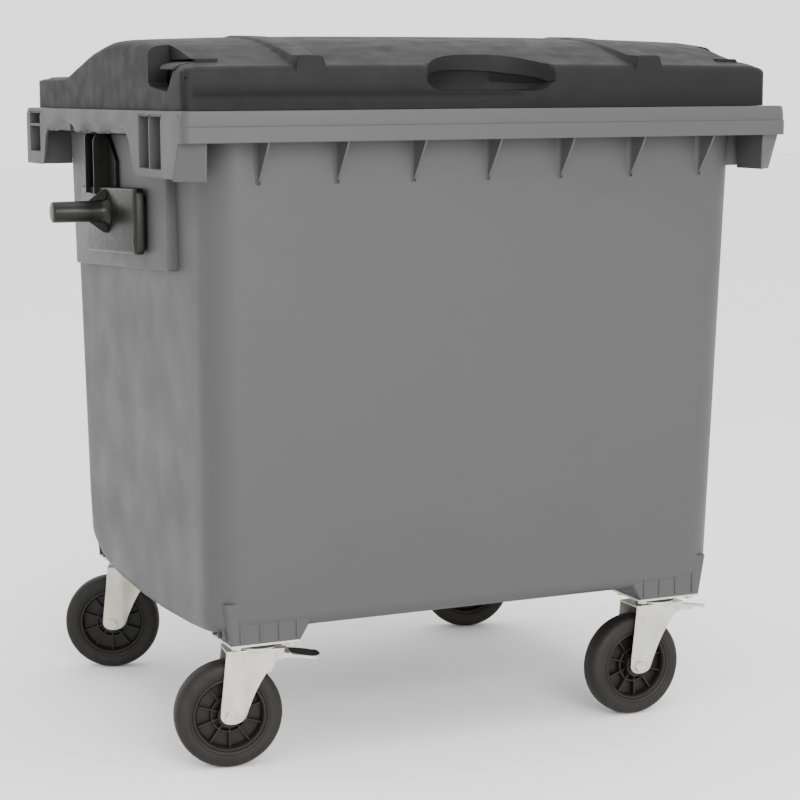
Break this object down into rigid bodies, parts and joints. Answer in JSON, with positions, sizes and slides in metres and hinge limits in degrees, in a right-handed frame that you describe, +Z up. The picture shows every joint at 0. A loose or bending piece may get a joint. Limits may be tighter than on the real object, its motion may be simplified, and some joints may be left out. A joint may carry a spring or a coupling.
{
  "type": "four-wheel waste container",
  "caption": "Large wheeled rubbish container with a ribbed tub, hinged lid, side lifting pins and swivelling rubber-tyred castors.",
  "frame": {"origin": "on the floor under the centre of the bounding box", "axes": "+Z up, front at -Y, +X to the viewer's right facing the front"},
  "size_m": [1.368, 1.122, 1.33],
  "materials": {
    "body_plastic": "fine-grained moulded polyethylene, mid grey",
    "lid_plastic": "moulded polyethylene, anthracite",
    "black_gloss": "glossy black paint",
    "black_matt": "black moulded plastic",
    "zinc_steel": "zinc-plated pressed steel",
    "tyre_rubber": "solid rubber",
    "seal_rubber": "black rubber"
  },
  "bodies": {
    "tub_body": {"tub": "body_plastic", "trunnion_left": "black_gloss", "trunnion_right": "black_gloss", "trunnion_bolts": "zinc_steel", "hinge_pins": "zinc_steel", "drain_plug": "black_matt", "drain_seal": "seal_rubber", "lid_buffers": "seal_rubber", "castor_bolts": "zinc_steel", "fl_plate": "zinc_steel", "fl_kingpin": "zinc_steel", "fr_plate": "zinc_steel", "fr_kingpin": "zinc_steel", "rl_plate": "zinc_steel", "rl_kingpin": "zinc_steel", "rr_plate": "zinc_steel", "rr_kingpin": "zinc_steel"},
    "lid_body": {"lid": "lid_plastic"},
    "fl_swivel": {"fl_seal": "seal_rubber", "fl_fork": "zinc_steel", "fl_axle": "zinc_steel", "fl_nut": "zinc_steel", "fl_pedal_pin": "zinc_steel"},
    "fl_wheel": {"fl_hub": "black_matt", "fl_tyre": "tyre_rubber", "fl_bearing": "zinc_steel"},
    "fl_brake": {"fl_pedal": "zinc_steel"},
    "fr_swivel": {"fr_seal": "seal_rubber", "fr_fork": "zinc_steel", "fr_axle": "zinc_steel", "fr_nut": "zinc_steel", "fr_pedal_pin": "zinc_steel"},
    "fr_wheel": {"fr_hub": "black_matt", "fr_tyre": "tyre_rubber", "fr_bearing": "zinc_steel"},
    "fr_brake": {"fr_pedal": "zinc_steel"},
    "rl_swivel": {"rl_seal": "seal_rubber", "rl_fork": "zinc_steel", "rl_axle": "zinc_steel", "rl_nut": "zinc_steel"},
    "rl_wheel": {"rl_hub": "black_matt", "rl_tyre": "tyre_rubber", "rl_bearing": "zinc_steel"},
    "rr_swivel": {"rr_seal": "seal_rubber", "rr_fork": "zinc_steel", "rr_axle": "zinc_steel", "rr_nut": "zinc_steel"},
    "rr_wheel": {"rr_hub": "black_matt", "rr_tyre": "tyre_rubber", "rr_bearing": "zinc_steel"}
  },
  "joints": [
    {"name": "lid_hinge", "type": "hinge", "parent": "tub_body", "child": "lid_body", "pos_m": [0.33, 0.55, 1.245], "axis": [-1, 0, 0], "range_deg": [0, 245]},
    {"name": "fl_swivel_turn", "type": "hinge", "parent": "tub_body", "child": "fl_swivel", "pos_m": [-0.42, -0.392, 0.22], "axis": [0, 0, 1], "continuous": true},
    {"name": "fl_wheel_spin", "type": "hinge", "parent": "fl_swivel", "child": "fl_wheel", "pos_m": [-0.47425, -0.38292, 0.1], "axis": [0.165, 0.9863, 0], "continuous": true},
    {"name": "fl_brake_pedal", "type": "hinge", "parent": "fl_swivel", "child": "fl_brake", "pos_m": [-0.38647, -0.39761, 0.208], "axis": [0.165, 0.9863, 0], "range_deg": [0, 5.5]},
    {"name": "fr_swivel_turn", "type": "hinge", "parent": "tub_body", "child": "fr_swivel", "pos_m": [0.42, -0.392, 0.22], "axis": [0, 0, 1], "continuous": true},
    {"name": "fr_wheel_spin", "type": "hinge", "parent": "fr_swivel", "child": "fr_wheel", "pos_m": [0.36503, -0.39392, 0.1], "axis": [-0.0349, 0.9994, 0], "continuous": true},
    {"name": "fr_brake_pedal", "type": "hinge", "parent": "fr_swivel", "child": "fr_brake", "pos_m": [0.45398, -0.39081, 0.208], "axis": [-0.0349, 0.9994, 0], "range_deg": [0, 5.5]},
    {"name": "rl_swivel_turn", "type": "hinge", "parent": "tub_body", "child": "rl_swivel", "pos_m": [-0.42, 0.358, 0.22], "axis": [0, 0, 1], "continuous": true},
    {"name": "rl_wheel_spin", "type": "hinge", "parent": "rl_swivel", "child": "rl_wheel", "pos_m": [-0.47152, 0.37726, 0.1], "axis": [0.3502, 0.9367, 0], "continuous": true},
    {"name": "rr_swivel_turn", "type": "hinge", "parent": "tub_body", "child": "rr_swivel", "pos_m": [0.42, 0.358, 0.22], "axis": [0, 0, 1], "continuous": true},
    {"name": "rr_wheel_spin", "type": "hinge", "parent": "rr_swivel", "child": "rr_wheel", "pos_m": [0.36726, 0.37362, 0.1], "axis": [0.284, 0.9588, 0], "continuous": true}
  ]
}
